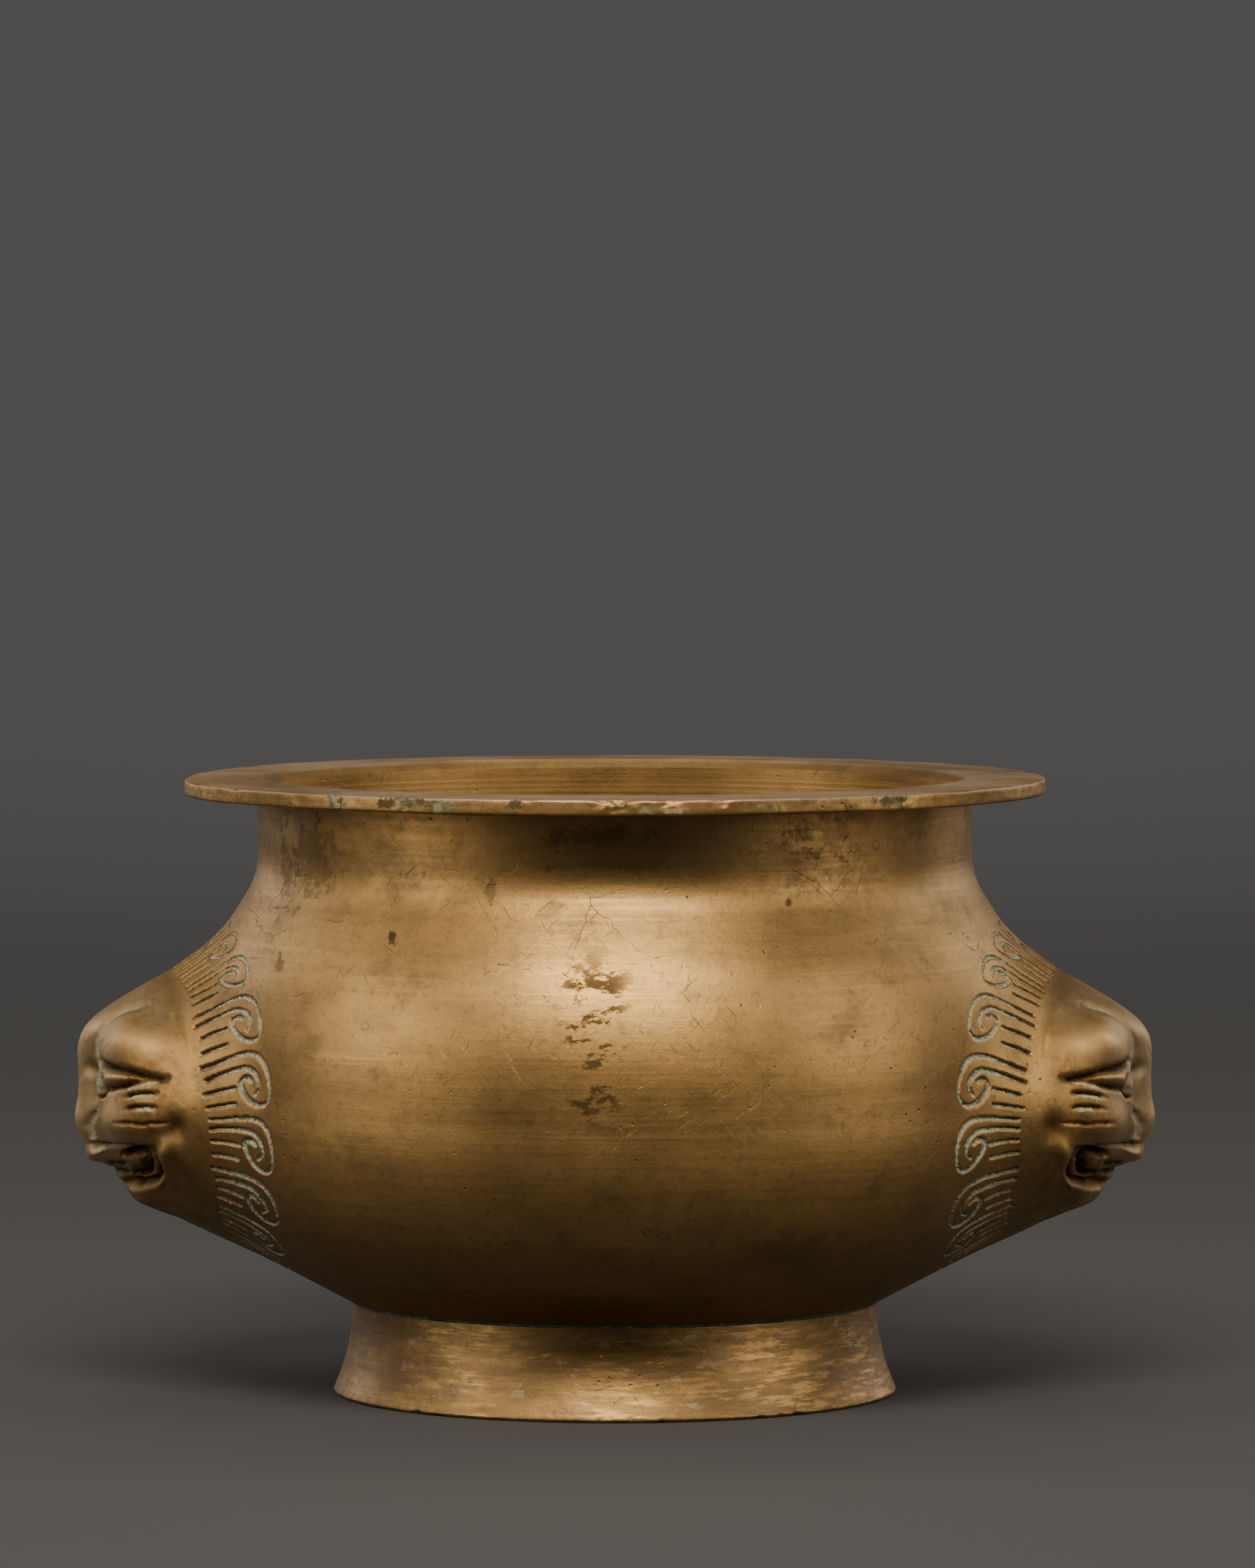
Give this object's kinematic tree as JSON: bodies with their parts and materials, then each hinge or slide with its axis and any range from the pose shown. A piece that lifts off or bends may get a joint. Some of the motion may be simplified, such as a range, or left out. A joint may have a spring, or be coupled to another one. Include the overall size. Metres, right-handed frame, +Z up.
{
  "type": "brass planter pot",
  "caption": "Round-bellied brass pot with a straight neck, flat wide rim, flared foot ring and a lion head with a curled mane on each side.",
  "frame": {"origin": "centre of the foot ring's resting face", "axes": "+Z up through the mouth; +X out through the right-hand lion head's nose; +Y towards the back, so the side shown in the picture faces -Y"},
  "size_m": [0.2396, 0.1904, 0.1365],
  "materials": {
    "aged_brass": "satin, aged brown-gold with dark stains and pin holes",
    "rim_brass": "turned and worn, with a bright chipped edge and green spots",
    "foot_brass": "worn satin with horizontal streaks",
    "mane_brass": "chiselled, with pale green deposit in the cuts",
    "head_brass": "smooth cast, rubbed bright on the high points",
    "braze_metal": "filed flush, slightly pitted",
    "verdigris_solder": "dull, covered by green verdigris"
  },
  "bodies": {
    "root": {"bowl": "aged_brass", "rim_flange": "rim_brass", "rim_braze": "braze_metal", "foot_ring": "foot_brass", "foot_solder": "verdigris_solder", "mane_collar_left": "mane_brass", "mane_collar_right": "mane_brass", "collar_braze_left": "braze_metal", "collar_braze_right": "braze_metal", "lion_head_left": "head_brass", "lion_head_right": "head_brass", "head_braze_left": "braze_metal", "head_braze_right": "braze_metal"}
  },
  "joints": []
}
